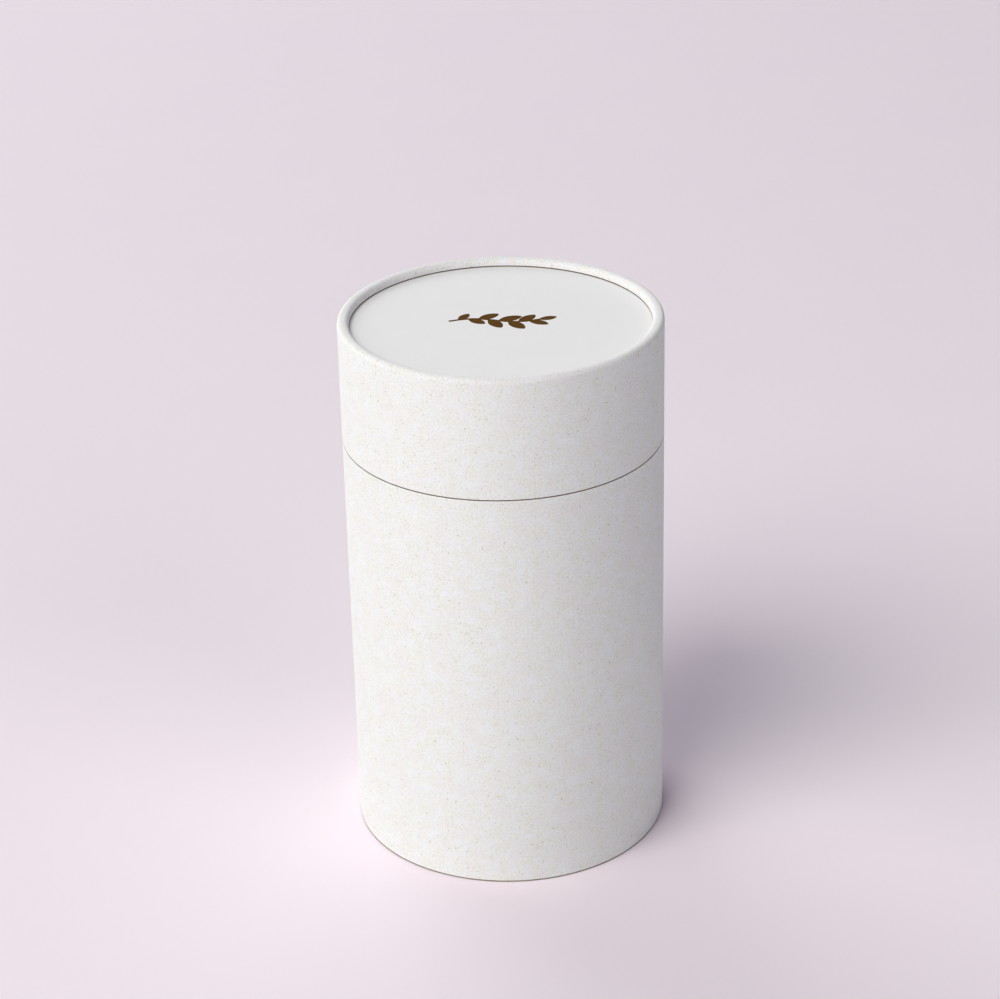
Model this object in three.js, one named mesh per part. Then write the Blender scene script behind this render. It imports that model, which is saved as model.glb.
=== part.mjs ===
// Round telescoping tube box of wound paperboard, standing upright with its lid on.
// The lid's top end is rolled inwards over a recessed disc, and the lid slides over a neck tube
// that is glued inside the body. Millimetres, +Z up, origin at the centre of the foot.
import * as THREE from 'three';

// Driving dimensions of the walls
const outerDiameter = 100; // lid and body are flush with each other
const wallThickness = 1.4; // wound board of the lid and of the body
const neckThickness = 1.2; // wound board of the neck
const cutEdgeRadius = 0.25; // softness of a trimmed board edge

// Driving dimensions along the axis
const bodyHeight = 134.05; // foot to the seam
const seamGap = 0.3; // line of shadow between the body and the closed lid
const lidHeight = 38.65; // seam to the crest of the rolled rim
const neckRise = 30; // how far the neck stands out of the body

// Driving dimensions of the rolled rim
const rimWidth = 3.6; // across the doubled wall
const rimDrop = 2.6; // crest down to the face of the lid disc
const rollFullness = 2.6; // 2 is a round roll, more is a squarer one
const rimSeatGap = 0.3; // cut end of the return leg to the disc that it holds

// Driving dimensions of the two discs
const lidDiscThickness = 1.5;
const baseDiscThickness = 1.8;
const baseRecess = 2.5; // foot up to the underside of the base disc

// Fits
const neckClearance = 0.3; // neck to the walls of the lid and of the body
const discClearance = 0.3; // edge of a disc to the wall around it
const neckSeatGap = 0.3; // lower end of the neck to the base disc

// Facets
const turnSteps = 96; // round the axis
const curlSteps = 8; // in each quarter of the rolled rim
const edgeSteps = 2; // in each softened board edge

// Radii and levels that follow from them
const outerRadius = outerDiameter / 2;
const boreRadius = outerRadius - wallThickness;
const neckRadius = boreRadius - neckClearance;
const lidFoot = bodyHeight + seamGap;
const crest = lidFoot + lidHeight;
const lidDiscTop = crest - rimDrop;
const lidDiscFoot = lidDiscTop - lidDiscThickness;
const baseDiscTop = baseRecess + baseDiscThickness;
const neckFoot = baseDiscTop + neckSeatGap;
const neckTop = bodyHeight + neckRise;

// Colours and surfaces
const whiteWrap = { color: 0xf1efed, roughness: 0.85, metalness: 0 };
const paleCard = { color: 0xe6e5e6, roughness: 0.8, metalness: 0 };
const greyBoard = { color: 0xa79b8c, roughness: 0.9, metalness: 0 };

// Quarter turn of a section about a centre, as points of radius and height.
// fullness 2 gives a circle, and a larger one pushes the quarter out towards its corner.
function quarter(centreR, centreZ, radius, startAngle, steps, fullness = 2) {
  const points = [];
  for (let i = 0; i <= steps; i += 1) {
    const angle = startAngle + (i / steps) * (Math.PI / 2);
    const across = Math.cos(angle);
    const up = Math.sin(angle);
    const power = 2 / fullness;
    points.push(new THREE.Vector2(
      centreR + radius * Math.sign(across) * Math.abs(across) ** power,
      centreZ + radius * Math.sign(up) * Math.abs(up) ** power,
    ));
  }
  return points;
}

// Quarter turn that ends a quarter before it starts, for the hollow side of a fold.
function hollowQuarter(centreR, centreZ, radius, startAngle, steps) {
  return quarter(centreR, centreZ, radius, startAngle - Math.PI / 2, steps).reverse();
}

// The two softened corners at a trimmed lower end, from the bore to the outside.
function lowerEdge(innerR, outerR, foot) {
  const e = cutEdgeRadius;
  return [
    ...quarter(innerR + e, foot + e, e, Math.PI, edgeSteps),
    ...quarter(outerR - e, foot + e, e, -Math.PI / 2, edgeSteps),
  ];
}

// The two softened corners at a trimmed upper end, from the outside to the bore.
function upperEdge(innerR, outerR, top) {
  const e = cutEdgeRadius;
  return [
    ...quarter(outerR - e, top - e, e, 0, edgeSteps),
    ...quarter(innerR + e, top - e, e, Math.PI / 2, edgeSteps),
  ];
}

// Turns a section about the Z axis. Points run anticlockwise, with the material on their left.
function turned(name, section, finish) {
  const geometry = new THREE.LatheGeometry(section, turnSteps);
  geometry.rotateX(Math.PI / 2);
  const mesh = new THREE.Mesh(geometry, new THREE.MeshStandardMaterial(finish));
  mesh.name = name;
  return mesh;
}

// A tube with two trimmed ends.
function trimmedTube(name, outerR, thickness, foot, top, finish) {
  const section = [
    ...lowerEdge(outerR - thickness, outerR, foot),
    ...upperEdge(outerR - thickness, outerR, top),
  ];
  section.push(section[0].clone());
  return turned(name, section, finish);
}

// A die-cut disc, with its rim softened like any other trimmed edge.
function dieCutDisc(name, radius, foot, thickness, finish) {
  const e = cutEdgeRadius;
  const top = foot + thickness;
  const section = [
    new THREE.Vector2(0, foot),
    ...quarter(radius - e, foot + e, e, -Math.PI / 2, edgeSteps),
    ...quarter(radius - e, top - e, e, 0, edgeSteps),
    new THREE.Vector2(0, top),
  ];
  return turned(name, section, finish);
}

// The lid's tube. One wound wall rises, rolls over inwards and comes back down as a short leg,
// and the leg's cut end holds the lid disc. A narrow slit stays open between leg and wall.
function lidTube() {
  const curlRadius = rimWidth / 2;
  const curlR = outerRadius - curlRadius;
  const curlZ = crest - curlRadius;
  const slitRadius = curlRadius - wallThickness;
  const legEnd = lidDiscTop + rimSeatGap;
  const legInner = outerRadius - rimWidth;
  const legOuter = legInner + wallThickness;
  const section = [
    ...lowerEdge(boreRadius, outerRadius, lidFoot),
    ...quarter(curlR, curlZ, curlRadius, 0, curlSteps, rollFullness),
    ...quarter(curlR, curlZ, curlRadius, Math.PI / 2, curlSteps, rollFullness).slice(1),
    new THREE.Vector2(legInner, legEnd),
    new THREE.Vector2(legOuter, legEnd),
    ...hollowQuarter(curlR, curlZ, slitRadius, Math.PI, edgeSteps),
    ...hollowQuarter(curlR, curlZ, slitRadius, Math.PI / 2, edgeSteps).slice(1),
  ];
  section.push(section[0].clone());
  return turned('lid_tube', section, whiteWrap);
}

const lid = new THREE.Group();
lid.name = 'lid';
lid.add(
  lidTube(),
  dieCutDisc('lid_disc', boreRadius - discClearance, lidDiscFoot, lidDiscThickness, paleCard),
);

const base = new THREE.Group();
base.name = 'base';
base.add(
  trimmedTube('body_tube', outerRadius, wallThickness, 0, bodyHeight, whiteWrap),
  trimmedTube('neck_tube', neckRadius, neckThickness, neckFoot, neckTop, greyBoard),
  dieCutDisc('base_disc', boreRadius - discClearance, baseRecess, baseDiscThickness, greyBoard),
);

const tubeBox = new THREE.Group();
tubeBox.name = 'tube_box';
tubeBox.add(base, lid);

export default tubeBox;
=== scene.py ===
import math

import bpy
from mathutils import Euler, Matrix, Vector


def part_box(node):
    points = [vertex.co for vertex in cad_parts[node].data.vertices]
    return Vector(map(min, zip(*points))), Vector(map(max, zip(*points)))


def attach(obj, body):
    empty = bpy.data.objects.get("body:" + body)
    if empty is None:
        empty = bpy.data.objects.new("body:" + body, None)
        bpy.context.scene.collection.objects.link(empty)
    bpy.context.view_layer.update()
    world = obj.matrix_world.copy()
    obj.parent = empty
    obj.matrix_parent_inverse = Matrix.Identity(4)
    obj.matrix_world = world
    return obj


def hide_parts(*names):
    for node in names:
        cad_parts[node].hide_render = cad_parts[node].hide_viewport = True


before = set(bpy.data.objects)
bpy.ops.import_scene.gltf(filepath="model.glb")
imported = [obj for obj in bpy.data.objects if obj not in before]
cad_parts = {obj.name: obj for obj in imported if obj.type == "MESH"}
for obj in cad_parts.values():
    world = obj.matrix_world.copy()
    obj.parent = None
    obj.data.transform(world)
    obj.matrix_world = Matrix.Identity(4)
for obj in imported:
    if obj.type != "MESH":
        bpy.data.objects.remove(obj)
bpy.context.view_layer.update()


# Body wall.
# The outer tube that stands on the table: greyboard wound on a mandrel, wrapped in white paper with
# flecks of recycled fibre, and trimmed square at both ends with a knife. The neck is glued inside it.
MM = 0.001
BODY_WALL = 1.4 * MM
# A narrow strip of bare board at the foot, below the paper: painted shade along the line where the tube
# meets the floor.
FOOT_SHADE_STRIP = 0.34 * MM

# The round of a knife-cut edge, and how far the paper reaches round it, in degrees.
CUT_EDGE = 0.14 * MM
PAPER_REACH = 60
EDGE_STEPS = 4
BARE_STEPS = 2


def linear(hex_colour):
    """An sRGB colour such as "F4F2EF" as linear red, green, blue and alpha."""
    channels = [int(hex_colour[i:i + 2], 16) / 255 for i in (0, 2, 4)]
    turned = [c / 12.92 if c <= 0.04045 else ((c + 0.055) / 1.055) ** 2.4 for c in channels]
    return (*turned, 1.0)


def feed(tree, node, inputs):
    """Links or sets a node's inputs, given by name or number."""
    for key, value in inputs.items():
        if isinstance(value, bpy.types.NodeSocket):
            tree.links.new(value, node.inputs[key])
        else:
            node.inputs[key].default_value = value


def add_node(tree, kind, inputs=None, **settings):
    """Adds a node with its settings, and feeds it."""
    node = tree.nodes.new(kind)
    for name, value in settings.items():
        setattr(node, name, value)
    feed(tree, node, inputs or {})
    return node


# The sides of a section: skin outside, board at a cut, and liner inside.
OUTER, CUT, INNER = 1, 0, -1


def arc(centre_r, centre_z, radius, start, end, steps, side, curl=(0.0, 0.0), fullness=2.0):
    """Part of a section, as rows of radius, height, side and curl. Angles are in degrees. A fullness
    of 2 is a round arc, and more is a squarer one."""
    rows = []
    for i in range(steps + 1):
        angle = math.radians(start + (end - start) * i / steps)
        across, up = math.cos(angle), math.sin(angle)
        reach = [math.copysign(abs(c) ** (2 / fullness), c) * radius for c in (across, up)]
        rolled = curl[0] + (curl[1] - curl[0]) * i / steps
        rows.append((centre_r + reach[0], centre_z + reach[1], side, rolled))
    return rows


ROW_SPACING = 5.0 * MM
SHORT_RUN = 4 * CUT_EDGE
FEWEST_ROWS = 4


def spaced(rows, spacing):
    """The section with its long straight runs cut up, close together near their ends."""
    out = [rows[0]]
    for before, after in zip(rows, rows[1:]):
        length = math.dist(before[:2], after[:2])
        if length > SHORT_RUN:
            count = max(FEWEST_ROWS, round(length / spacing))
            near = CUT_EDGE / length
            middle = [near + (1 - 2 * near) * k / count for k in range(1, count)]
            for share in [near] + middle + [1 - near]:
                out.append(tuple(a + (b - a) * share for a, b in zip(before, after)))
        out.append(after)
    return out


# A face is skin or liner where the mean side of its corners is past this limit.
SIDE_LIMIT = 0.75
CLOSING_DISTANCE = 1e-7


def turning_tree():
    """Geometry Nodes that turn a section about the Z axis, with puckers in the rolled part."""
    tree = bpy.data.node_groups.new("turn_section", "GeometryNodeTree")
    tree.is_modifier = True
    panel = tree.interface
    panel.new_socket("Section", in_out="INPUT", socket_type="NodeSocketGeometry")
    for name, kind in (
        ("Turn Steps", "NodeSocketInt"),
        ("Outer Radius", "NodeSocketFloat"),
        ("Pucker Height", "NodeSocketFloat"),
        ("Pucker Length", "NodeSocketFloat"),
        ("Seed", "NodeSocketInt"),
        ("Skin", "NodeSocketMaterial"),
        ("Liner", "NodeSocketMaterial"),
        ("Board", "NodeSocketMaterial"),
    ):
        panel.new_socket(name, in_out="INPUT", socket_type=kind)
    panel.new_socket("Solid", in_out="OUTPUT", socket_type="NodeSocketGeometry")
    given = add_node(tree, "NodeGroupInput").outputs

    # A square grid has one column for each step of the turn, and one row for each section point.
    columns = add_node(tree, "ShaderNodeMath", {0: given["Turn Steps"], 1: 1.0}, operation="ADD")
    points = add_node(tree, "GeometryNodeAttributeDomainSize", {"Geometry": given["Section"]})
    rows = points.outputs["Point Count"]
    grid = add_node(
        tree, "GeometryNodeMeshGrid",
        {"Size X": 1.0, "Size Y": 1.0, "Vertices X": columns.outputs[0], "Vertices Y": rows},
    )
    position = add_node(tree, "GeometryNodeInputPosition").outputs[0]
    place = add_node(tree, "ShaderNodeSeparateXYZ", {0: position})
    share = add_node(tree, "ShaderNodeMath", {0: place.outputs["X"], 1: 0.5}, operation="ADD")
    angle = add_node(tree, "ShaderNodeMath", {0: share.outputs[0], 1: -math.tau}, operation="MULTIPLY")
    last_row = add_node(tree, "ShaderNodeMath", {0: rows, 1: 1.0}, operation="SUBTRACT")
    along = add_node(tree, "ShaderNodeMath", {0: place.outputs["Y"], 1: 0.5}, operation="ADD")
    row = add_node(
        tree, "ShaderNodeMath", {0: along.outputs[0], 1: last_row.outputs[0]}, operation="MULTIPLY",
    )
    row_index = add_node(tree, "FunctionNodeFloatToInt", {0: row.outputs[0]}, rounding_mode="ROUND")

    # Each point of the grid takes its values from the section's point with its row's number.
    column = {"position": position}
    for label in ("run", "side", "curl"):
        named = add_node(
            tree, "GeometryNodeInputNamedAttribute", {"Name": label}, data_type="FLOAT",
        )
        column[label] = named.outputs["Attribute"]
    at_row = {}
    for label, field in column.items():
        taken = add_node(
            tree, "GeometryNodeSampleIndex",
            {"Geometry": given["Section"], "Value": field, "Index": row_index.outputs[0]},
            data_type="FLOAT_VECTOR" if label == "position" else "FLOAT", domain="POINT",
        )
        at_row[label] = taken.outputs["Value"]
    here = add_node(tree, "ShaderNodeSeparateXYZ", {0: at_row["position"]})
    turned = add_node(tree, "ShaderNodeCombineXYZ", {2: here.outputs["Z"]})
    for axis, wave in enumerate(("SINE", "COSINE")):
        part = add_node(tree, "ShaderNodeMath", {0: angle.outputs[0]}, operation=wave)
        reach = add_node(
            tree, "ShaderNodeMath", {0: here.outputs["X"], 1: part.outputs[0]}, operation="MULTIPLY",
        )
        feed(tree, turned, {axis: reach.outputs[0]})

    # Each corner keeps its place on the flat sheet: round the tube, along the section, and the side.
    around = add_node(
        tree, "ShaderNodeMath", {0: angle.outputs[0], 1: given["Outer Radius"]}, operation="MULTIPLY",
    )
    sheet = add_node(
        tree, "ShaderNodeCombineXYZ", {0: around.outputs[0], 1: at_row["run"], 2: at_row["side"]},
    )
    marked = add_node(
        tree, "GeometryNodeStoreNamedAttribute",
        {"Geometry": grid.outputs["Mesh"], "Name": "sheet", "Value": sheet.outputs[0]},
        data_type="FLOAT_VECTOR", domain="CORNER",
    )
    for label in ("curl", "side"):
        marked = add_node(
            tree, "GeometryNodeStoreNamedAttribute",
            {"Geometry": marked.outputs[0], "Name": label, "Value": at_row[label]},
            data_type="FLOAT", domain="POINT",
        )
    placed = add_node(
        tree, "GeometryNodeSetPosition",
        {"Geometry": marked.outputs[0], "Position": turned.outputs[0]},
    )
    closed = add_node(
        tree, "GeometryNodeMergeByDistance",
        {"Geometry": placed.outputs[0], "Distance": CLOSING_DISTANCE},
    )

    # The drawn-in paper puckers where the wall rolls over, with ridges that run across the rim.
    spot = add_node(tree, "ShaderNodeSeparateXYZ", {0: position})
    flat_spot = add_node(
        tree, "ShaderNodeCombineXYZ", {0: spot.outputs["X"], 1: spot.outputs["Y"]},
    )
    compass = add_node(
        tree, "ShaderNodeVectorMath", {0: flat_spot.outputs[0]}, operation="NORMALIZE",
    )
    ridges = add_node(
        tree, "ShaderNodeMath", {0: given["Outer Radius"], 1: given["Pucker Length"]},
        operation="DIVIDE",
    )
    waves = add_node(
        tree, "ShaderNodeTexNoise",
        {"Vector": compass.outputs[0], "W": given["Seed"], "Scale": ridges.outputs[0], "Detail": 2.0},
        noise_dimensions="4D",
    )
    swing = add_node(tree, "ShaderNodeMath", {0: waves.outputs[0], 1: 0.5}, operation="SUBTRACT")
    swell = add_node(
        tree, "ShaderNodeMath", {0: swing.outputs[0], 1: given["Pucker Height"]},
        operation="MULTIPLY",
    )
    lift = add_node(
        tree, "ShaderNodeMath", {0: swell.outputs[0], 1: column["curl"]}, operation="MULTIPLY",
    )
    outwards = add_node(tree, "GeometryNodeInputNormal")
    push = add_node(
        tree, "ShaderNodeVectorMath", {0: outwards.outputs[0], "Scale": lift.outputs[0]},
        operation="SCALE",
    )
    puckered = add_node(
        tree, "GeometryNodeSetPosition", {"Geometry": closed.outputs[0], "Offset": push.outputs[0]},
    )
    smooth = add_node(
        tree, "GeometryNodeSetShadeSmooth", {"Geometry": puckered.outputs[0], "Shade Smooth": True},
    )

    # The board shows at the cuts, the liner on the inner side and the skin on the outer side.
    whole = add_node(tree, "GeometryNodeRealizeInstances", {"Geometry": smooth.outputs[0]})
    covered = add_node(
        tree, "GeometryNodeSetMaterial", {"Geometry": whole.outputs[0], "Material": given["Board"]},
    )
    for material, limit, test in (
        ("Liner", SIDE_LIMIT * INNER, "LESS_THAN"),
        ("Skin", SIDE_LIMIT * OUTER, "GREATER_THAN"),
    ):
        chosen = add_node(
            tree, "FunctionNodeCompare", {0: column["side"], 1: limit},
            data_type="FLOAT", operation=test,
        )
        covered = add_node(
            tree, "GeometryNodeSetMaterial",
            {
                "Geometry": covered.outputs[0],
                "Selection": chosen.outputs[0],
                "Material": given[material],
            },
        )
    add_node(tree, "NodeGroupOutput", {0: covered.outputs[0]})
    return tree


TURNING = turning_tree()


def grown(name, start_mesh, tree, sizes):
    """Runs a Geometry Nodes tree on a mesh, with sizes for its named inputs, and keeps a plain mesh."""
    draft = bpy.data.objects.new(name + "_draft", start_mesh)
    bpy.context.scene.collection.objects.link(draft)
    modifier = draft.modifiers.new("grow", "NODES")
    modifier.node_group = tree
    for item in tree.interface.items_tree:
        if item.name in sizes:
            modifier[item.identifier] = sizes[item.name]
    depsgraph = bpy.context.evaluated_depsgraph_get()
    mesh = bpy.data.meshes.new_from_object(
        draft.evaluated_get(depsgraph), preserve_all_data_layers=True, depsgraph=depsgraph,
    )
    bpy.data.objects.remove(draft)
    mesh.name = name
    piece = bpy.data.objects.new(name, mesh)
    bpy.context.scene.collection.objects.link(piece)
    return piece


TURN_STEPS = 360


def turn(name, rows, skin, liner, board, steps=TURN_STEPS, pucker_height=0.0, pucker_length=MM, seed=1):
    """Turns a section into a plain mesh at its place in the frame. Rows run up the outside. The skin
    covers their OUTER side, the liner their INNER side, and the board shows at a CUT."""
    rows = spaced(rows, ROW_SPACING)
    section = bpy.data.meshes.new(name + "_section")
    corners = [(r, 0.0, z) for r, z, _, _ in rows]
    section.from_pydata(corners, [(i, i + 1) for i in range(len(rows) - 1)], [])
    runs = [0.0]
    for before, after in zip(rows, rows[1:]):
        runs.append(runs[-1] + math.dist(before[:2], after[:2]))
    columns = {"run": runs, "side": [r[2] for r in rows], "curl": [r[3] for r in rows]}
    for label, values in columns.items():
        section.attributes.new(label, "FLOAT", "POINT").data.foreach_set("value", values)
    return grown(name, section, TURNING, {
        "Turn Steps": steps,
        "Outer Radius": max(r[0] for r in rows),
        "Pucker Height": pucker_height,
        "Pucker Length": pucker_length,
        "Seed": seed,
        "Skin": skin,
        "Liner": liner,
        "Board": board,
    })


def new_material(name):
    """An empty material, its node tree, and the shader that its nodes feed."""
    material = bpy.data.materials.new(name)
    material.use_nodes = True
    tree = material.node_tree
    tree.nodes.clear()
    shader = add_node(tree, "ShaderNodeBsdfPrincipled")
    add_node(tree, "ShaderNodeOutputMaterial", {"Surface": shader.outputs["BSDF"]})
    return material, tree, shader


def layered(tree, ground, layers):
    """Lays colours over a ground, one after the other, each by its mask times its strength. In a Mix
    node the two colours are inputs 6 and 7, and the mixed colour is output 2."""
    for mask, shade, strength in layers:
        part = add_node(tree, "ShaderNodeMath", {0: mask, 1: strength}, operation="MULTIPLY")
        both = add_node(
            tree, "ShaderNodeMix", {0: part.outputs[0], 6: ground, 7: shade}, data_type="RGBA",
        )
        ground = both.outputs[2]
    return ground


# A fleck's edge fades between these shares of its size, and its seed shifts the pattern in metres.
FLECK_EDGE = 1.15
FLECK_CORE = 0.75
SMALLEST_FLECK = 0.55
FLECK_SHIFT = (0.0137, 0.0291)


def fleck_mask(tree, sheet, spacing, length, width, share, seed):
    """1 inside scattered oval flecks, each turned its own way and of its own size, and 0 between them.
    Sizes are in metres on the sheet."""
    start = (seed * FLECK_SHIFT[0], seed * FLECK_SHIFT[1], 0)
    moved = add_node(tree, "ShaderNodeVectorMath", {0: sheet, 1: start}, operation="ADD")
    scaled = add_node(
        tree, "ShaderNodeVectorMath", {0: moved.outputs[0], "Scale": 1 / spacing}, operation="SCALE",
    )
    cells = add_node(
        tree, "ShaderNodeTexVoronoi", {"Vector": scaled.outputs[0], "Scale": 1.0, "Randomness": 1.0},
        voronoi_dimensions="2D", feature="F1",
    )
    luck = add_node(tree, "ShaderNodeSeparateColor", {0: cells.outputs["Color"]})
    away = add_node(
        tree, "ShaderNodeVectorMath", {0: scaled.outputs[0], 1: cells.outputs["Position"]},
        operation="SUBTRACT",
    )
    turn_by = add_node(
        tree, "ShaderNodeMath", {0: luck.outputs["Blue"], 1: math.tau}, operation="MULTIPLY",
    )
    turned = add_node(
        tree, "ShaderNodeVectorRotate", {"Vector": away.outputs[0], "Angle": turn_by.outputs[0]},
        rotation_type="Z_AXIS",
    )
    oval = add_node(
        tree, "ShaderNodeVectorMath",
        {0: turned.outputs[0], 1: (2 * spacing / length, 2 * spacing / width, 0)},
        operation="MULTIPLY",
    )
    reach = add_node(tree, "ShaderNodeVectorMath", {0: oval.outputs[0]}, operation="LENGTH")
    size = add_node(
        tree, "ShaderNodeMapRange",
        {"Value": luck.outputs["Green"], "To Min": SMALLEST_FLECK, "To Max": 1.0},
    )
    edge = add_node(
        tree, "ShaderNodeMath", {0: reach.outputs["Value"], 1: size.outputs[0]}, operation="DIVIDE",
    )
    inside = add_node(
        tree, "ShaderNodeMapRange",
        {"Value": edge.outputs[0], "From Min": FLECK_EDGE, "From Max": FLECK_CORE},
    )
    chosen = add_node(
        tree, "ShaderNodeMath", {0: luck.outputs["Red"], 1: share}, operation="LESS_THAN",
    )
    mask = add_node(
        tree, "ShaderNodeMath", {0: inside.outputs[0], 1: chosen.outputs[0]}, operation="MULTIPLY",
    )
    return mask.outputs[0]


# A noise lies mostly between these two values.
NOISE_LOW = 0.3
NOISE_HIGH = 0.7

# The paper's shades: cool ground, warmer patches that hold more flecks, and a faint pink blush.
PAPER_COOL = "F7F5F8"
PAPER_WARM = "F5F2EE"
PAPER_PINK = "F6F0F2"
PATCH_SIZE = 4.2 * MM
FLECKS_IN_COOL = 0.42
FLECKS_IN_WARM = 1.04
BLUSH_SIZE = 8.0 * MM
BLUSH_SHIFT = (5.3, 1.7, 0)
BLUSH_START = 0.45
BLUSH_FULL = 0.8

# Its tooth: a noise that is the bump's height and also paints shade into the colour. It is darker in the
# pits between the fibres and a little lighter on their tops, with the colour's share at each end.
TOOTH_SIZE = 0.72 * MM
TOOTH_DEPTH = 0.03 * MM
TOOTH_LOW = 0.25
TOOTH_HIGH = 0.75
TOOTH_PIT_SHADE = 0.895
TOOTH_TOP_LIGHT = 1.01

# The lap at the back: a step up, a flat stretch that runs out, and a shadow line on the sheet below.
# It fades where the rim has curled this much.
LAP_STEP = 0.3 * MM
LAP_HEIGHT = 0.12 * MM
LAP_FLAT = 5.0 * MM
LAP_END = 9.0 * MM
LAP_SHADOW = 0.25 * MM
LAP_SHADOW_CORE = 0.05 * MM
LAP_SHADE = "BDB8B2"
LAP_STRENGTH = 0.7
FLATTENED_CURL = 0.1

# Its flecks: spacing, length and width in millimetres, share of places that have one, colour, how
# strongly it covers, and seed.
PAPER_FLECKS = (
    (0.7, 0.5, 0.36, 0.5, "D9D2BC", 0.45, 1),
    (1.0, 0.5, 0.34, 0.45, "FFFFFF", 0.6, 3),
    (1.6, 0.55, 0.4, 0.45, "B3AD9F", 0.42, 4),
    (3.4, 0.6, 0.45, 0.35, "8D8780", 0.55, 5),
    (3.0, 2.2, 0.16, 0.5, "CFCAB4", 0.4, 6),
)


def speckled_paper(name, sheet_width):
    """Uncoated white wrapping paper with recycled fibre. It looks dry and chalky: a fine soft mottle,
    and faint straw, olive and grey flecks that crowd into warmer patches. It laps on itself at the
    back. The tooth is drawn about three times as coarse as the real one, so that it shows."""
    material, tree, shader = new_material(name)
    sheet = add_node(tree, "ShaderNodeAttribute", attribute_name="sheet").outputs["Vector"]
    patches = add_node(
        tree, "ShaderNodeTexNoise", {"Vector": sheet, "Scale": 1 / PATCH_SIZE, "Detail": 2.0},
        noise_dimensions="2D",
    )
    crowded = add_node(
        tree, "ShaderNodeMapRange",
        {"Value": patches.outputs[0], "From Min": NOISE_LOW, "From Max": NOISE_HIGH},
    ).outputs[0]
    drift = add_node(tree, "ShaderNodeVectorMath", {0: sheet, 1: BLUSH_SHIFT}, operation="ADD")
    blush = add_node(
        tree, "ShaderNodeTexNoise", {"Vector": drift.outputs[0], "Scale": 1 / BLUSH_SIZE},
        noise_dimensions="2D",
    )
    blushing = add_node(
        tree, "ShaderNodeMapRange",
        {"Value": blush.outputs[0], "From Min": BLUSH_START, "From Max": BLUSH_FULL},
    )
    crowding = add_node(
        tree, "ShaderNodeMapRange",
        {"Value": crowded, "To Min": FLECKS_IN_COOL, "To Max": FLECKS_IN_WARM},
    )
    layers = [(crowded, linear(PAPER_WARM), 1.0), (blushing.outputs[0], linear(PAPER_PINK), 1.0)]
    for spacing, length, width, share, shade, strength, seed in PAPER_FLECKS:
        mask = fleck_mask(tree, sheet, spacing * MM, length * MM, width * MM, share, seed)
        thinned = add_node(
            tree, "ShaderNodeMath", {0: mask, 1: crowding.outputs[0]}, operation="MULTIPLY",
        )
        layers.append((thinned.outputs[0], linear(shade), strength))
    colour = layered(tree, linear(PAPER_COOL), layers)
    tooth = add_node(
        tree, "ShaderNodeTexNoise", {"Vector": sheet, "Scale": 1 / TOOTH_SIZE, "Detail": 3.0},
        noise_dimensions="2D",
    )
    # Painted shade: the colour is darkened in the tooth's pits and lightened a little on its tops.
    grain = add_node(
        tree, "ShaderNodeMapRange",
        {
            "Value": tooth.outputs[0],
            "From Min": TOOTH_LOW,
            "From Max": TOOTH_HIGH,
            "To Min": TOOTH_PIT_SHADE,
            "To Max": TOOTH_TOP_LIGHT,
        },
    )
    pit_shaded = add_node(
        tree, "ShaderNodeVectorMath", {0: colour, "Scale": grain.outputs[0]}, operation="SCALE",
    )

    # The sheet's free edge lies on its other end at the back, as a low step with a thin shadow line.
    place = add_node(tree, "ShaderNodeSeparateXYZ", {0: sheet})
    from_edge = add_node(
        tree, "ShaderNodeMath", {0: place.outputs["X"], 1: -1.0}, operation="MULTIPLY",
    ).outputs[0]
    rise = add_node(
        tree, "ShaderNodeMapRange", {"Value": from_edge, "From Max": LAP_STEP},
        interpolation_type="SMOOTHSTEP",
    )
    fall = add_node(
        tree, "ShaderNodeMapRange",
        {"Value": from_edge, "From Min": LAP_FLAT, "From Max": LAP_END, "To Min": 1.0, "To Max": 0.0},
        interpolation_type="SMOOTHSTEP",
    )
    lap = add_node(
        tree, "ShaderNodeMath", {0: rise.outputs[0], 1: fall.outputs[0]}, operation="MULTIPLY",
    )
    shadow = add_node(
        tree, "ShaderNodeMapRange",
        {
            "Value": from_edge,
            "From Min": sheet_width - LAP_SHADOW,
            "From Max": sheet_width - LAP_SHADOW_CORE,
        },
    )

    # Both fade out on the rolled rim, where the curling die presses them flat.
    curl = add_node(tree, "ShaderNodeAttribute", attribute_name="curl").outputs["Fac"]
    unrolled = add_node(
        tree, "ShaderNodeMapRange",
        {"Value": curl, "From Max": FLATTENED_CURL, "To Min": 1.0, "To Max": 0.0},
    )
    lap_shadow = add_node(
        tree, "ShaderNodeMath", {0: shadow.outputs[0], 1: unrolled.outputs[0]}, operation="MULTIPLY",
    )
    lap_line = (lap_shadow.outputs[0], linear(LAP_SHADE), LAP_STRENGTH)
    outer_colour = layered(tree, pit_shaded.outputs[0], [lap_line])
    step_height = add_node(
        tree, "ShaderNodeMath", {0: lap.outputs[0], 1: unrolled.outputs[0]}, operation="MULTIPLY",
    )
    step = add_node(
        tree, "ShaderNodeBump",
        {"Height": step_height.outputs[0], "Strength": 0.6, "Distance": LAP_HEIGHT},
    )
    relief = add_node(
        tree, "ShaderNodeBump",
        {
            "Height": tooth.outputs[0],
            "Strength": 0.5,
            "Distance": TOOTH_DEPTH,
            "Normal": step.outputs[0],
        },
    )
    feed(tree, shader, {
        "Base Color": outer_colour,
        "Normal": relief.outputs[0],
        "Roughness": 0.86,
        "IOR": 1.45,
    })
    return material


PLY_THICKNESS = 0.35 * MM
PLY_EDGE = 0.2
PLY_DARK = "7F7060"
PLY_PALE = "AA9A85"
FUZZ_SIZE = 0.4 * MM
FUZZ_DEPTH = 0.06 * MM
FUZZ_SHADE = "948674"
FUZZ_STRENGTH = 0.6


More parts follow.
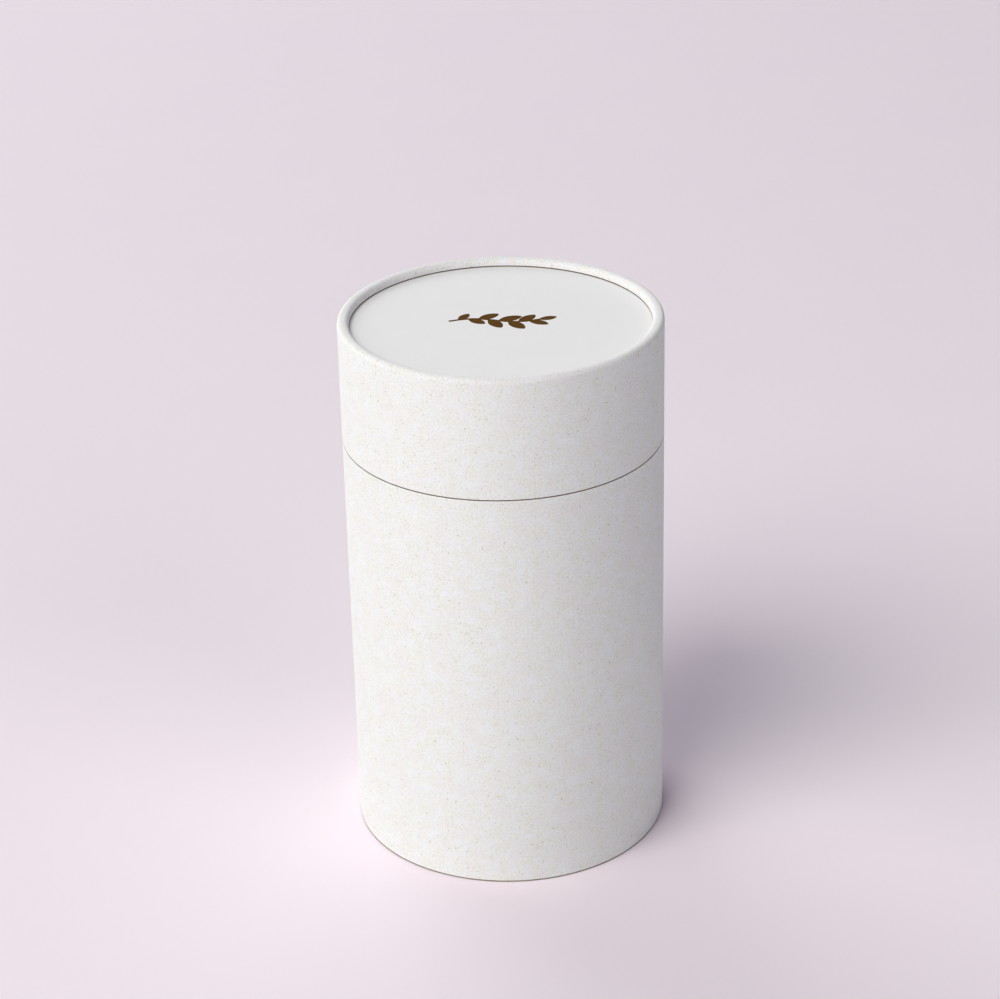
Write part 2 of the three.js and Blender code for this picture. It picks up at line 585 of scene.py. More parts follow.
def cut_board(name):
    """Greyboard seen at a knife cut. It looks brown-grey, dull and fuzzy, with the dark and pale lines
    of its pressed plies."""
    material, tree, shader = new_material(name)
    spot = add_node(tree, "ShaderNodeTexCoord").outputs["Object"]
    place = add_node(tree, "ShaderNodeSeparateXYZ", {0: spot})
    flat = add_node(tree, "ShaderNodeCombineXYZ", {0: place.outputs["X"], 1: place.outputs["Y"]})
    radius = add_node(tree, "ShaderNodeVectorMath", {0: flat.outputs[0]}, operation="LENGTH")
    phase = add_node(
        tree, "ShaderNodeMath", {0: radius.outputs["Value"], 1: math.tau / PLY_THICKNESS},
        operation="MULTIPLY",
    )
    plies = add_node(tree, "ShaderNodeMath", {0: phase.outputs[0]}, operation="SINE")
    ply = add_node(
        tree, "ShaderNodeMapRange", {"Value": plies.outputs[0], "From Min": -1.0, "From Max": PLY_EDGE},
    )
    fuzz = add_node(tree, "ShaderNodeTexNoise", {"Vector": spot, "Scale": 1 / FUZZ_SIZE, "Detail": 4.0})
    colour = layered(tree, linear(PLY_DARK), [
        (ply.outputs[0], linear(PLY_PALE), 1.0),
        (fuzz.outputs[0], linear(FUZZ_SHADE), FUZZ_STRENGTH),
    ])
    relief = add_node(
        tree, "ShaderNodeBump", {"Height": fuzz.outputs[0], "Strength": 0.6, "Distance": FUZZ_DEPTH},
    )
    feed(tree, shader, {"Base Color": colour, "Normal": relief.outputs[0], "Roughness": 0.95})
    return material


FELT_SIZE = 1.4 * MM
FELT_DEPTH = 0.08 * MM
SPIRAL_PITCH = 75.0 * MM
JOINT_EDGE = 0.35 * MM
JOINT_CORE = 0.1 * MM
JOINT_SHADE = "6B6053"
JOINT_STRENGTH = 0.7

# Fibres and old print, in the same columns. The last one is added to the liner's own seed.
LINER_FLECKS = (
    (1.6, 0.7, 0.25, 0.5, "5F5850", 0.55, 0),
    (1.3, 0.9, 0.2, 0.5, "D5CCBE", 0.6, 1),
    (3.4, 0.5, 0.4, 0.4, "4A4A52", 0.6, 2),
)


def wound_liner(name, low_shade, high_shade, seed):
    """Grey recycled liner board, wound as a spiral and left bare. It looks matt and felted, with the
    thin line of a butt joint that climbs a pitch each turn, short fibres, and specks of old print."""
    material, tree, shader = new_material(name)
    sheet = add_node(tree, "ShaderNodeAttribute", attribute_name="sheet").outputs["Vector"]
    felt = add_node(
        tree, "ShaderNodeTexNoise", {"Vector": sheet, "Scale": 1 / FELT_SIZE, "Detail": 5.0},
        noise_dimensions="2D",
    )
    felted = add_node(
        tree, "ShaderNodeMapRange",
        {"Value": felt.outputs[0], "From Min": NOISE_LOW, "From Max": NOISE_HIGH},
    )
    layers = [(felted.outputs[0], linear(high_shade), 1.0)]
    for spacing, length, width, share, shade, strength, number in LINER_FLECKS:
        mask = fleck_mask(tree, sheet, spacing * MM, length * MM, width * MM, share, seed + number)
        layers.append((mask, linear(shade), strength))
    spot = add_node(tree, "ShaderNodeTexCoord").outputs["Object"]
    place = add_node(tree, "ShaderNodeSeparateXYZ", {0: spot})
    turn_angle = add_node(
        tree, "ShaderNodeMath", {0: place.outputs["X"], 1: place.outputs["Y"]}, operation="ARCTAN2",
    )
    turns = add_node(tree, "ShaderNodeMath", {0: turn_angle.outputs[0], 1: math.tau}, operation="DIVIDE")
    climb = add_node(tree, "ShaderNodeMath", {0: place.outputs["Z"], 1: SPIRAL_PITCH}, operation="DIVIDE")
    thread = add_node(tree, "ShaderNodeMath", {0: turns.outputs[0], 1: climb.outputs[0]}, operation="ADD")
    off_joint = add_node(tree, "ShaderNodeMath", {0: thread.outputs[0]}, operation="FRACT")
    centred = add_node(tree, "ShaderNodeMath", {0: off_joint.outputs[0], 1: 0.5}, operation="SUBTRACT")
    from_joint = add_node(tree, "ShaderNodeMath", {0: centred.outputs[0]}, operation="ABSOLUTE")
    line = add_node(
        tree, "ShaderNodeMapRange",
        {
            "Value": from_joint.outputs[0],
            "From Min": JOINT_EDGE / SPIRAL_PITCH,
            "From Max": JOINT_CORE / SPIRAL_PITCH,
        },
    )
    layers.append((line.outputs[0], linear(JOINT_SHADE), JOINT_STRENGTH))
    colour = layered(tree, linear(low_shade), layers)
    groove = add_node(
        tree, "ShaderNodeMath", {0: felt.outputs[0], 1: line.outputs[0]}, operation="SUBTRACT",
    )
    relief = add_node(
        tree, "ShaderNodeBump", {"Height": groove.outputs[0], "Strength": 0.6, "Distance": FELT_DEPTH},
    )
    feed(tree, shader, {"Base Color": colour, "Normal": relief.outputs[0], "Roughness": 0.92})
    return material


def trimmed_wall(bore, outside, foot, top, foot_shade_strip=0.0):
    """The section of a tube with two knife-cut ends. The outer paper reaches round their first turn,
    apart from a lower end with a shade strip. There the paper stops short, and a narrow strip of bare
    board shows as painted shade along the line where the tube meets the floor."""
    edge = CUT_EDGE
    rows = [(bore, top - edge, INNER, 0), (bore, foot + edge, INNER, 0)]
    rows += arc(bore + edge, foot + edge, edge, 180, 270, EDGE_STEPS, CUT)
    rows += arc(outside - edge, foot + edge, edge, 270, 360 - PAPER_REACH, BARE_STEPS, CUT)
    low_side = CUT if foot_shade_strip else OUTER
    rows += arc(outside - edge, foot + edge, edge, 360 - PAPER_REACH, 360, EDGE_STEPS, low_side)
    if foot_shade_strip:
        rows += [(outside, foot + foot_shade_strip, CUT, 0), (outside, foot + foot_shade_strip + edge, OUTER, 0)]
    rows += [(outside, top - edge, OUTER, 0)]
    rows += arc(outside - edge, top - edge, edge, 0, PAPER_REACH, EDGE_STEPS, OUTER)
    rows += arc(outside - edge, top - edge, edge, PAPER_REACH, 90, BARE_STEPS, CUT)
    rows += arc(bore + edge, top - edge, edge, 90, 180, EDGE_STEPS, CUT)
    rows.append(rows[0])
    return [row for row, before in zip(rows, [None] + rows) if row != before]


body_low, body_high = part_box("body_tube")
OUTSIDE = body_high.x
BORE = OUTSIDE - BODY_WALL
WRAP = speckled_paper("speckled_recycled_wrap_paper", math.tau * OUTSIDE)
CUT_BOARD = cut_board("knife_cut_greyboard")
INNER_PLY = wound_liner("spiral_wound_inner_ply", "B3A795", "C6BBAA", 11)
body_wall = turn(
    "body_wall", trimmed_wall(BORE, OUTSIDE, body_low.z, body_high.z, FOOT_SHADE_STRIP),
    WRAP, INNER_PLY, CUT_BOARD,
)
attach(body_wall, "base")
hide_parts("body_tube")


# Base plate.
# A die-cut disc of thick greyboard, glued a little way up inside the body so that the tube stands
# on its wall. Its rim is crushed slightly by the die.
PLATE_DARK = "A3988A"
PLATE_PALE = "B9AEA0"
PLATE_CLOUD = 2.2 * MM
PLATE_DEPTH = 0.05 * MM
PLATE_FLECKS = (
    (1.6, 0.8, 0.25, 0.5, "5F5850", 0.5, 21),
    (1.4, 0.9, 0.25, 0.5, "D5CCBE", 0.5, 22),
)


def die_cut_plate(radius, foot, top, shade_ring=0.0):
    """The section of a disc, from the axis out and back, with its rim softened by the die. A shade ring
    is a ring of bare board on top, at the edge, in place of the skin: painted shade for a gap above it."""
    edge = CUT_EDGE
    rows = [(0.0, foot, INNER, 0)]
    rows += arc(radius - edge, foot + edge, edge, 270, 360, EDGE_STEPS, CUT)
    rows += arc(radius - edge, top - edge, edge, 0, 90, EDGE_STEPS, CUT)
    # The shade ring: bare board in place of the skin, painted shade under the rim's leg.
    rows += [(radius - shade_ring - 2 * edge, top, CUT, 0)]
    rows += [(radius - shade_ring - 3 * edge, top, OUTER, 0), (0.0, top, OUTER, 0)]
    return rows


def flat_greyboard(name):
    """Solid greyboard, calendered flat. It looks dull and cloudy, with fibres and specks."""
    material, tree, shader = new_material(name)
    spot = add_node(tree, "ShaderNodeTexCoord").outputs["Object"]
    cloud = add_node(
        tree, "ShaderNodeTexNoise", {"Vector": spot, "Scale": 1 / PLATE_CLOUD, "Detail": 6.0},
    )
    part = add_node(
        tree, "ShaderNodeMapRange",
        {"Value": cloud.outputs[0], "From Min": NOISE_LOW, "From Max": NOISE_HIGH},
    )
    layers = [(part.outputs[0], linear(PLATE_PALE), 1.0)]
    for spacing, length, width, share, shade, strength, seed in PLATE_FLECKS:
        mask = fleck_mask(tree, spot, spacing * MM, length * MM, width * MM, share, seed)
        layers.append((mask, linear(shade), strength))
    colour = layered(tree, linear(PLATE_DARK), layers)
    relief = add_node(
        tree, "ShaderNodeBump", {"Height": cloud.outputs[0], "Strength": 0.5, "Distance": PLATE_DEPTH},
    )
    feed(tree, shader, {"Base Color": colour, "Normal": relief.outputs[0], "Roughness": 0.93})
    return material


GREYBOARD = flat_greyboard("calendered_greyboard")
plate_low, plate_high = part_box("base_disc")
base_plate = turn(
    "base_plate", die_cut_plate(plate_high.x, plate_low.z, plate_high.z),
    GREYBOARD, GREYBOARD, CUT_BOARD,
)
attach(base_plate, "base")
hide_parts("base_disc")


# Neck sleeve.
# A thinner tube of the same wound greyboard, left bare, glued inside the body. It stands 30 mm out
# of it, and the lid slides down over it.
NECK_WALL = 1.2 * MM
NECK_PLY = wound_liner("spiral_wound_neck_ply", "B0A493", "C3B8A7", 31)
neck_low, neck_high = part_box("neck_tube")
neck_sleeve = turn(
    "neck_sleeve", trimmed_wall(neck_high.x - NECK_WALL, neck_high.x, neck_low.z, neck_high.z),
    NECK_PLY, INNER_PLY, CUT_BOARD,
)
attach(neck_sleeve, "base")
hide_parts("neck_tube")


# Lid face.
# A die-cut disc of white-lined board that closes the lid from inside. The rolled rim holds it down.
# Under the rim's leg, a ring of bare board takes the place of the lining: painted shade that darkens
# the gap line there. Its face is smooth card, without the wrap's flecks.
# Width of the ring of bare board at the face's edge, painted shade in the gap under the leg.
FACE_SHADE_RING = 1.5 * MM
CARD_DARK = "EFECED"
CARD_PALE = "F2EFEF"
CARD_CLOUD = 9.0 * MM
CARD_GRAIN = 0.5 * MM
# The colour's share in the grain's pits: a slight painted shade.
CARD_PIT_SHADE = 0.993
CARD_DEPTH = 0.01 * MM


def smooth_card(name):
    """White-lined card with a light matt coating. It looks even and slightly cool, with a faint
    cloudiness and a grain that shows only close up, drawn a few times coarser than the real one."""
    material, tree, shader = new_material(name)
    spot = add_node(tree, "ShaderNodeTexCoord").outputs["Object"]
    cloud = add_node(
        tree, "ShaderNodeTexNoise", {"Vector": spot, "Scale": 1 / CARD_CLOUD, "Detail": 3.0},
    )
    colour = layered(tree, linear(CARD_DARK), [(cloud.outputs[0], linear(CARD_PALE), 1.0)])
    grain = add_node(
        tree, "ShaderNodeTexNoise", {"Vector": spot, "Scale": 1 / CARD_GRAIN, "Detail": 3.0},
    )
    # Painted shade: the grain darkens the colour slightly in its pits.
    shade = add_node(
        tree, "ShaderNodeMapRange",
        {"Value": grain.outputs[0], "From Min": NOISE_LOW, "From Max": NOISE_HIGH, "To Min": CARD_PIT_SHADE},
    )
    pit_shaded = add_node(
        tree, "ShaderNodeVectorMath", {0: colour, "Scale": shade.outputs[0]}, operation="SCALE",
    )
    relief = add_node(
        tree, "ShaderNodeBump", {"Height": grain.outputs[0], "Strength": 0.3, "Distance": CARD_DEPTH},
    )
    feed(tree, shader, {
        "Base Color": pit_shaded.outputs[0],
        "Normal": relief.outputs[0],
        "Roughness": 0.7,
        "IOR": 1.45,
    })
    return material


CARD = smooth_card("matt_coated_white_lined_card")
face_low, face_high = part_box("lid_disc")
lid_face = turn(
    "lid_face", die_cut_plate(face_high.x, face_low.z, face_high.z, FACE_SHADE_RING),
    CARD, GREYBOARD, CUT_BOARD,
)
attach(lid_face, "lid")
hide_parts("lid_disc")


# Printed sprig.
# A small leaf sprig printed in brown-gold ink on the middle of the face, as one thin film of ink.
# The leaves are drawn a hair above each other, so that no two films share a surface.
STEM_CENTRE = (-1.9 * MM, 1.7 * MM)
STEM_LENGTH = 28.0 * MM
STEM_WIDTH = 1.0 * MM
STEM_BOW = 1.5 * MM
STEM_POINTS = 49
FIRST_LEAF = 0.12
LEAF_COUNT = 9
LEAF_LENGTH = 8.0 * MM
LEAF_WIDTH = 4.0 * MM
LEAF_LEAN = 44.0
LEAF_ROOT = 0.87
LEAF_POINTS = 32
SMALLEST_LEAF = 0.6

# The film of ink. The height of its middle, a leaf's film and the step from each leaf to the next
# are shares of its thickness.
INK_THICKNESS = 0.03 * MM
INK_LIFT = 0.7
LEAF_FILM = 0.9
LEAF_STEP = 0.06
INK_DENSE = "523500"
INK_THIN = "5F3E00"
INK_THIN_START = 0.35
INK_GRAIN = 0.7 * MM
INK_DEPTH = 0.01 * MM


def sprig_tree():
    """Geometry Nodes for a stem that bows like a flat wave, with leaves on both sides and one at its
    tip."""
    tree = bpy.data.node_groups.new("leaf_sprig", "GeometryNodeTree")
    tree.is_modifier = True
    for name, kind in (
        ("Centre", "NodeSocketVector"),
        ("Stem Length", "NodeSocketFloat"),
        ("Stem Width", "NodeSocketFloat"),
        ("Stem Bow", "NodeSocketFloat"),
        ("Leaf Count", "NodeSocketInt"),
        ("Leaf Length", "NodeSocketFloat"),
        ("Leaf Width", "NodeSocketFloat"),
        ("Leaf Lean", "NodeSocketFloat"),
        ("Ink Thickness", "NodeSocketFloat"),
        ("Ink", "NodeSocketMaterial"),
    ):
        tree.interface.new_socket(name, in_out="INPUT", socket_type=kind)
    tree.interface.new_socket("Print", in_out="OUTPUT", socket_type="NodeSocketGeometry")
    given = add_node(tree, "NodeGroupInput").outputs

    # The stem is a straight line of points, which a full sine wave then bows.
    straight = add_node(tree, "GeometryNodeCurvePrimitiveLine", {"End": (1.0, 0.0, 0.0)})
    stem_points = add_node(
        tree, "GeometryNodeResampleCurve", {"Curve": straight.outputs[0], "Count": STEM_POINTS},
    )
    share = add_node(tree, "GeometryNodeSplineParameter").outputs["Factor"]
    centred = add_node(tree, "ShaderNodeMath", {0: share, 1: 0.5}, operation="SUBTRACT")
    along_stem = add_node(
        tree, "ShaderNodeMath", {0: centred.outputs[0], 1: given["Stem Length"]},
        operation="MULTIPLY",
    )
    phase = add_node(tree, "ShaderNodeMath", {0: share, 1: math.tau}, operation="MULTIPLY")
    wave = add_node(tree, "ShaderNodeMath", {0: phase.outputs[0]}, operation="SINE")
    bow = add_node(
        tree, "ShaderNodeMath", {0: wave.outputs[0], 1: given["Stem Bow"]}, operation="MULTIPLY",
    )
    stem_place = add_node(
        tree, "ShaderNodeCombineXYZ", {0: along_stem.outputs[0], 1: bow.outputs[0]},
    )
    stem = add_node(
        tree, "GeometryNodeSetPosition",
        {"Geometry": stem_points.outputs[0], "Position": stem_place.outputs[0]},
    )
    level = add_node(tree, "GeometryNodeSetCurveNormal", {"Curve": stem.outputs[0]}, mode="Z_UP")
    stroke = add_node(
        tree, "GeometryNodeCurvePrimitiveQuadrilateral",
        {"Width": given["Stem Width"], "Height": given["Ink Thickness"]},
    )
    stem_film = add_node(
        tree, "GeometryNodeCurveToMesh",
        {"Curve": level.outputs[0], "Profile Curve": stroke.outputs[0], "Fill Caps": True},
    )

    # A leaf is a flat disc of ink, drawn out to a point at both ends, with its root in the stem.
    disc = add_node(
        tree, "GeometryNodeMeshCylinder",
        {"Vertices": LEAF_POINTS, "Radius": 1.0, "Depth": given["Ink Thickness"]}, fill_type="NGON",
    )
    position = add_node(tree, "GeometryNodeInputPosition").outputs[0]
    spot = add_node(tree, "ShaderNodeSeparateXYZ", {0: position})
    from_root = add_node(
        tree, "ShaderNodeMath", {0: spot.outputs["X"], 1: LEAF_ROOT}, operation="ADD",
    )
    from_middle = add_node(tree, "ShaderNodeMath", {0: spot.outputs["Y"]}, operation="ABSOLUTE")
    pinch = add_node(
        tree, "ShaderNodeMath", {0: from_middle.outputs[0], 1: 0.5}, operation="POWER",
    )
    pinched = add_node(
        tree, "ShaderNodeMath", {0: spot.outputs["Y"], 1: pinch.outputs[0]}, operation="MULTIPLY",
    )
    leaf_form = add_node(
        tree, "ShaderNodeCombineXYZ",
        {0: from_root.outputs[0], 1: pinched.outputs[0], 2: spot.outputs["Z"]},
    )
    leaf_size = add_node(
        tree, "ShaderNodeCombineXYZ",
        {0: given["Leaf Length"], 1: given["Leaf Width"], 2: 2 * LEAF_FILM},
    )
    half_size = add_node(
        tree, "ShaderNodeVectorMath", {0: leaf_size.outputs[0], "Scale": 0.5}, operation="SCALE",
    )
    leaf_place = add_node(
        tree, "ShaderNodeVectorMath", {0: leaf_form.outputs[0], 1: half_size.outputs[0]},
        operation="MULTIPLY",
    )
    leaf = add_node(
        tree, "GeometryNodeSetPosition",
        {"Geometry": disc.outputs["Mesh"], "Position": leaf_place.outputs[0]},
    )

    # Leaves stand along the stem on alternate sides. The last one ends it and points straight on.
    leafy = add_node(
        tree, "GeometryNodeTrimCurve", {"Curve": stem.outputs[0], "Start": FIRST_LEAF, "End": 1.0},
    )
    nodes = add_node(
        tree, "GeometryNodeCurveToPoints",
        {"Curve": leafy.outputs[0], "Count": given["Leaf Count"]}, mode="COUNT",
    )
    along = add_node(tree, "ShaderNodeSeparateXYZ", {0: nodes.outputs["Tangent"]})
    heading = add_node(
        tree, "ShaderNodeMath", {0: along.outputs["Y"], 1: along.outputs["X"]}, operation="ARCTAN2",
    )
    number = add_node(tree, "GeometryNodeInputIndex").outputs[0]
    odd = add_node(tree, "ShaderNodeMath", {0: number, 1: 2.0}, operation="MODULO")
    side = add_node(
        tree, "ShaderNodeMath", {0: odd.outputs[0], 1: -2.0, 2: 1.0}, operation="MULTIPLY_ADD",
    )
    tip = add_node(tree, "ShaderNodeMath", {0: given["Leaf Count"], 1: 1.5}, operation="SUBTRACT")
    before_tip = add_node(tree, "ShaderNodeMath", {0: number, 1: tip.outputs[0]}, operation="LESS_THAN")
    leaning_side = add_node(
        tree, "ShaderNodeMath", {0: side.outputs[0], 1: before_tip.outputs[0]}, operation="MULTIPLY",
    )
    leaf_angle = add_node(
        tree, "ShaderNodeMath",
        {0: leaning_side.outputs[0], 1: given["Leaf Lean"], 2: heading.outputs[0]},
        operation="MULTIPLY_ADD",
    )
    leaf_turn = add_node(tree, "ShaderNodeCombineXYZ", {2: leaf_angle.outputs[0]})

    # They are largest in the middle of the sprig.
    place_in_line = add_node(tree, "ShaderNodeMath", {0: number, 1: 1.0}, operation="ADD")
    line_length = add_node(tree, "ShaderNodeMath", {0: given["Leaf Count"], 1: 1.0}, operation="ADD")
    rank = add_node(
        tree, "ShaderNodeMath", {0: place_in_line.outputs[0], 1: line_length.outputs[0]},
        operation="DIVIDE",
    )
    half_turn = add_node(tree, "ShaderNodeMath", {0: rank.outputs[0], 1: math.pi}, operation="MULTIPLY")
    swell = add_node(tree, "ShaderNodeMath", {0: half_turn.outputs[0]}, operation="SINE")
    leaf_scale = add_node(
        tree, "ShaderNodeMath", {0: swell.outputs[0], 1: 1 - SMALLEST_LEAF, 2: SMALLEST_LEAF},
        operation="MULTIPLY_ADD",
    )
    step = add_node(
        tree, "ShaderNodeMath", {0: given["Ink Thickness"], 1: LEAF_STEP}, operation="MULTIPLY",
    )
    height = add_node(tree, "ShaderNodeMath", {0: number, 1: step.outputs[0]}, operation="MULTIPLY")
    raised = add_node(tree, "ShaderNodeCombineXYZ", {2: height.outputs[0]})
    stepped = add_node(
        tree, "GeometryNodeSetPosition",
        {"Geometry": nodes.outputs["Points"], "Offset": raised.outputs[0]},
    )
    leaves = add_node(
        tree, "GeometryNodeInstanceOnPoints",
        {
            "Points": stepped.outputs[0],
            "Instance": leaf.outputs[0],
            "Rotation": leaf_turn.outputs[0],
            "Scale": leaf_scale.outputs[0],
        },
    )
    both = add_node(tree, "GeometryNodeJoinGeometry")
    for part in (stem_film.outputs[0], leaves.outputs[0]):
        tree.links.new(part, both.inputs[0])
    placed = add_node(
        tree, "GeometryNodeTransform", {"Geometry": both.outputs[0], "Translation": given["Centre"]},
    )
    whole = add_node(tree, "GeometryNodeRealizeInstances", {"Geometry": placed.outputs[0]})
    inked = add_node(
        tree, "GeometryNodeSetMaterial", {"Geometry": whole.outputs[0], "Material": given["Ink"]},
    )
    add_node(tree, "NodeGroupOutput", {0: inked.outputs[0]})
    return tree


def offset_ink(name):
    """Brown-gold offset ink, dried matt into the card. It looks flat and dense, with a slight
    unevenness where the card takes less of it."""
    material, tree, shader = new_material(name)
    spot = add_node(tree, "ShaderNodeTexCoord").outputs["Object"]
    cover = add_node(tree, "ShaderNodeTexNoise", {"Vector": spot, "Scale": 1 / INK_GRAIN, "Detail": 3.0})
    part = add_node(
        tree, "ShaderNodeMapRange",
        {"Value": cover.outputs[0], "From Min": INK_THIN_START, "From Max": NOISE_HIGH},
    )
    colour = layered(tree, linear(INK_DENSE), [(part.outputs[0], linear(INK_THIN), 1.0)])
    relief = add_node(
        tree, "ShaderNodeBump", {"Height": cover.outputs[0], "Strength": 0.3, "Distance": INK_DEPTH},
    )
    feed(tree, shader, {
        "Base Color": colour,
        "Normal": relief.outputs[0],
        "Roughness": 0.7,
        "Specular IOR Level": 0.04,
    })
    return material


printed_sprig = grown("printed_sprig", bpy.data.meshes.new("print_start"), sprig_tree(), {
    "Centre": (*STEM_CENTRE, face_high.z + INK_LIFT * INK_THICKNESS),
    "Stem Length": STEM_LENGTH,
    "Stem Width": STEM_WIDTH,
    "Stem Bow": STEM_BOW,
    "Leaf Count": LEAF_COUNT,
    "Leaf Length": LEAF_LENGTH,
    "Leaf Width": LEAF_WIDTH,
    "Leaf Lean": math.radians(LEAF_LEAN),
    "Ink Thickness": INK_THICKNESS,
    "Ink": offset_ink("brown_gold_offset_ink"),
})
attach(printed_sprig, "lid")


# Lid wall.
# One wound tube, wrapped like the body. Its top end is rolled inwards on a curling die, comes back
# down as a short leg and presses on the face. The roll draws the paper in, so it puckers a little.
RIM_WIDTH = 3.6 * MM
ROLL_FULLNESS = 2.6
RIM_SEAT_GAP = 0.27 * MM
LEG_PAPER_REACH = 30
BELOW_ROLL = 1.5 * MM
LID_TURN_STEPS = 720
ROLL_STEPS = 14
SLIT_STEPS = 8
PUCKER_HEIGHT = 0.09 * MM
PUCKER_LENGTH = 2.6 * MM
PUCKER_SEED = 4
lid_low, lid_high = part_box("lid_tube")
lid_foot = lid_low.z
rim_radius = RIM_WIDTH / 2
rim_r, rim_z = OUTSIDE - rim_radius, lid_high.z - rim_radius
slit_radius = rim_radius - BODY_WALL
leg_inner = OUTSIDE - RIM_WIDTH
leg_outer = leg_inner + BODY_WALL
leg_end = face_high.z + RIM_SEAT_GAP
edge = CUT_EDGE
paper_end = 180 + LEG_PAPER_REACH

# The trimmed lower end, and up the outside.
lid_rows = [(BORE, lid_foot + edge, INNER, 0)]
lid_rows += arc(BORE + edge, lid_foot + edge, edge, 180, 270, EDGE_STEPS, CUT)
lid_rows += arc(OUTSIDE - edge, lid_foot + edge, edge, 270, 360 - PAPER_REACH, BARE_STEPS, CUT)
lid_rows += arc(OUTSIDE - edge, lid_foot + edge, edge, 360 - PAPER_REACH, 360, EDGE_STEPS, OUTER)
lid_rows += [(OUTSIDE, rim_z - BELOW_ROLL, OUTER, 0)]

# Over the roll and down the leg. The curl says how much the paper puckers there.
lid_rows += arc(rim_r, rim_z, rim_radius, 0, 90, ROLL_STEPS, OUTER, (0.1, 1.0), ROLL_FULLNESS)
lid_rows += arc(rim_r, rim_z, rim_radius, 90, 180, ROLL_STEPS, OUTER, (1.0, 0.6), ROLL_FULLNESS)[1:]
lid_rows += [(leg_inner, leg_end + edge, OUTER, 0.4)]

# Round the leg's cut end and back up through the slit.
lid_rows += arc(leg_inner + edge, leg_end + edge, edge, 180, paper_end, BARE_STEPS, OUTER, (0.3, 0.1))
lid_rows += arc(leg_inner + edge, leg_end + edge, edge, paper_end, 270, EDGE_STEPS, CUT, (0.1, 0.0))
lid_rows += arc(leg_outer - edge, leg_end + edge, edge, 270, 360, EDGE_STEPS, CUT)
lid_rows += [(leg_outer, rim_z, INNER, 0)]
lid_rows += arc(rim_r, rim_z, slit_radius, 180, 0, SLIT_STEPS, INNER)
lid_rows.append(lid_rows[0])
lid_wall = turn(
    "lid_wall", lid_rows, WRAP, INNER_PLY, CUT_BOARD,
    LID_TURN_STEPS, PUCKER_HEIGHT, PUCKER_LENGTH, PUCKER_SEED,
)
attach(lid_wall, "lid")
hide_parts("lid_tube")


# Studio floor.
# A wide sheet of pale lilac paper that runs out to the horizon. The camera sees its tint, and the
# light that it throws back on the object is near white.
FLOOR_RADIUS = 12.0
FLOOR_TOOTH = 60.0 * MM
FLOOR_DARK = "F6E8F1"
FLOOR_PALE = "F7EAF2"
FLOOR_BOUNCE = "EEECEC"


def studio_paper(name):
    """Seamless background paper, pale lilac and quite matt, with a barely visible cloudiness."""
    material, tree, shader = new_material(name)
    spot = add_node(tree, "ShaderNodeTexCoord").outputs["Object"]
    tooth = add_node(
        tree, "ShaderNodeTexNoise", {"Vector": spot, "Scale": 1 / FLOOR_TOOTH, "Detail": 2.0},
    )
    seen = layered(tree, linear(FLOOR_DARK), [(tooth.outputs[0], linear(FLOOR_PALE), 1.0)])
    rays = add_node(tree, "ShaderNodeLightPath")
    direct = add_node(
        tree, "ShaderNodeMath", {0: rays.outputs["Is Camera Ray"], 1: rays.outputs["Is Glossy Ray"]},
        operation="MAXIMUM",
    )
    colour = layered(tree, linear(FLOOR_BOUNCE), [(direct.outputs[0], seen, 1.0)])
    feed(tree, shader, {"Base Color": colour, "Roughness": 0.95, "Specular IOR Level": 0.2})
    return material


floor_mesh = bpy.data.meshes.new("floor")
floor_corners = [(x * FLOOR_RADIUS, y * FLOOR_RADIUS, 0) for x, y in ((-1, -1), (1, -1), (1, 1), (-1, 1))]
floor_mesh.from_pydata(floor_corners, [], [(0, 1, 2, 3)])
floor = bpy.data.objects.new("floor", floor_mesh)
floor_mesh.materials.append(studio_paper("lilac_background_paper"))
bpy.context.scene.collection.objects.link(floor)


# Studio light.
# A large soft light stands high in front on the left, and a lower one beside it. Two at the back and
# a weak one on the right open the shadows, with a trace of cool light from the whole room.
LIGHT_DISTANCE = 4.5
LIGHT_SIZE = 3.0
ROOM_SHADE = "50A8FF"
ROOM_STRENGTH = 0.047
BACKDROP = "DFD6DF"


def soft_light(name, azimuth, elevation, power, colour):
    """A soft round light that faces the object. Angles are in degrees, and azimuth 0 is the front."""
    light = bpy.data.lights.new(name, "AREA")
    light.shape = "DISK"
    light.size = LIGHT_SIZE
    light.energy = power
    light.color = linear(colour)[:3]
    lamp = bpy.data.objects.new(name, light)
    azimuth, elevation = math.radians(azimuth), math.radians(elevation)
    away = (
        math.sin(azimuth) * math.cos(elevation),
        -math.cos(azimuth) * math.cos(elevation),
        math.sin(elevation),
    )
    lamp.location = [LIGHT_DISTANCE * part for part in away]
    lamp.rotation_euler = (math.pi / 2 - elevation, 0, azimuth)
    lamp.visible_camera = False
    bpy.context.scene.collection.objects.link(lamp)


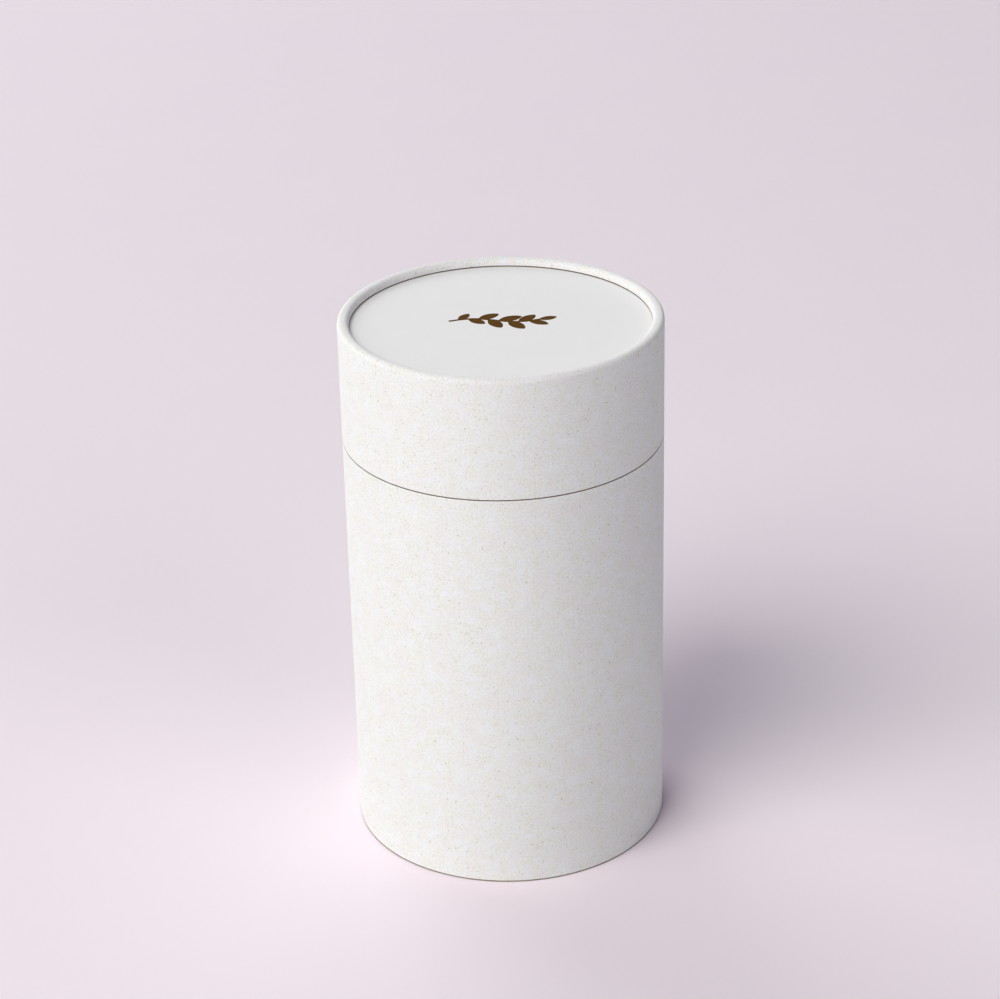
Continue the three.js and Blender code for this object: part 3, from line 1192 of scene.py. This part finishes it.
def room_light():
    """Faint even light for the object, and a plain pale backdrop for the camera and for reflections."""
    world = bpy.data.worlds.new("room")
    bpy.context.scene.world = world
    world.use_nodes = True
    tree = world.node_tree
    tree.nodes.clear()
    rays = add_node(tree, "ShaderNodeLightPath")
    seen = rays.outputs["Is Camera Ray"]
    for ray in ("Is Glossy Ray", "Is Transmission Ray"):
        seen = add_node(
            tree, "ShaderNodeMath", {0: seen, 1: rays.outputs[ray]}, operation="MAXIMUM",
        ).outputs[0]
    fill = add_node(
        tree, "ShaderNodeBackground", {"Color": linear(ROOM_SHADE), "Strength": ROOM_STRENGTH},
    )
    backdrop = add_node(tree, "ShaderNodeBackground", {"Color": linear(BACKDROP), "Strength": 1.0})
    both = add_node(
        tree, "ShaderNodeMixShader", {0: seen, 1: fill.outputs[0], 2: backdrop.outputs[0]},
    )
    add_node(tree, "ShaderNodeOutputWorld", {"Surface": both.outputs[0]})


# Each light: its azimuth and elevation in degrees, its power in watts, and its colour.
for name, azimuth, elevation, watts, shade in (
    ("light_front_left", -40, 50, 128.4, "FCFFF6"),
    ("light_left", -70, 20, 63.3, "FFFCFD"),
    ("light_back_left", -150, 30, 69.7, "F8FDFF"),
    ("light_back", 180, 30, 30.7, "FFFAF4"),
    ("light_front_right", 45, 30, 33.5, "FFF5FE"),
):
    soft_light(name, azimuth, elevation, watts, shade)
room_light()
bpy.context.scene.view_settings.view_transform = "Standard"


# Camera.
# It stands in front of the object and looks down at it, with a slight roll. It looks down in degrees,
# its yaw and roll are in radians, and its lens and sensor are in millimetres.
CAMERA_PLACE = (0.0, -0.786475, 0.49624)
CAMERA_DOWN = 26.147
CAMERA_YAW = -0.00188
CAMERA_ROLL = -0.02351
LENS = 100.2
SENSOR = 36.0


def photo_camera():
    """The camera at the photograph's viewing angle."""
    data = bpy.data.cameras.new("camera")
    data.lens = LENS
    data.sensor_width = SENSOR
    camera = bpy.data.objects.new("camera", data)
    camera.location = CAMERA_PLACE
    aim = Euler((math.pi / 2 - math.radians(CAMERA_DOWN), 0, -CAMERA_YAW)).to_matrix()
    camera.rotation_euler = (aim @ Matrix.Rotation(CAMERA_ROLL, 3, "Z")).to_euler()
    bpy.context.scene.collection.objects.link(camera)
    bpy.context.scene.camera = camera


photo_camera()
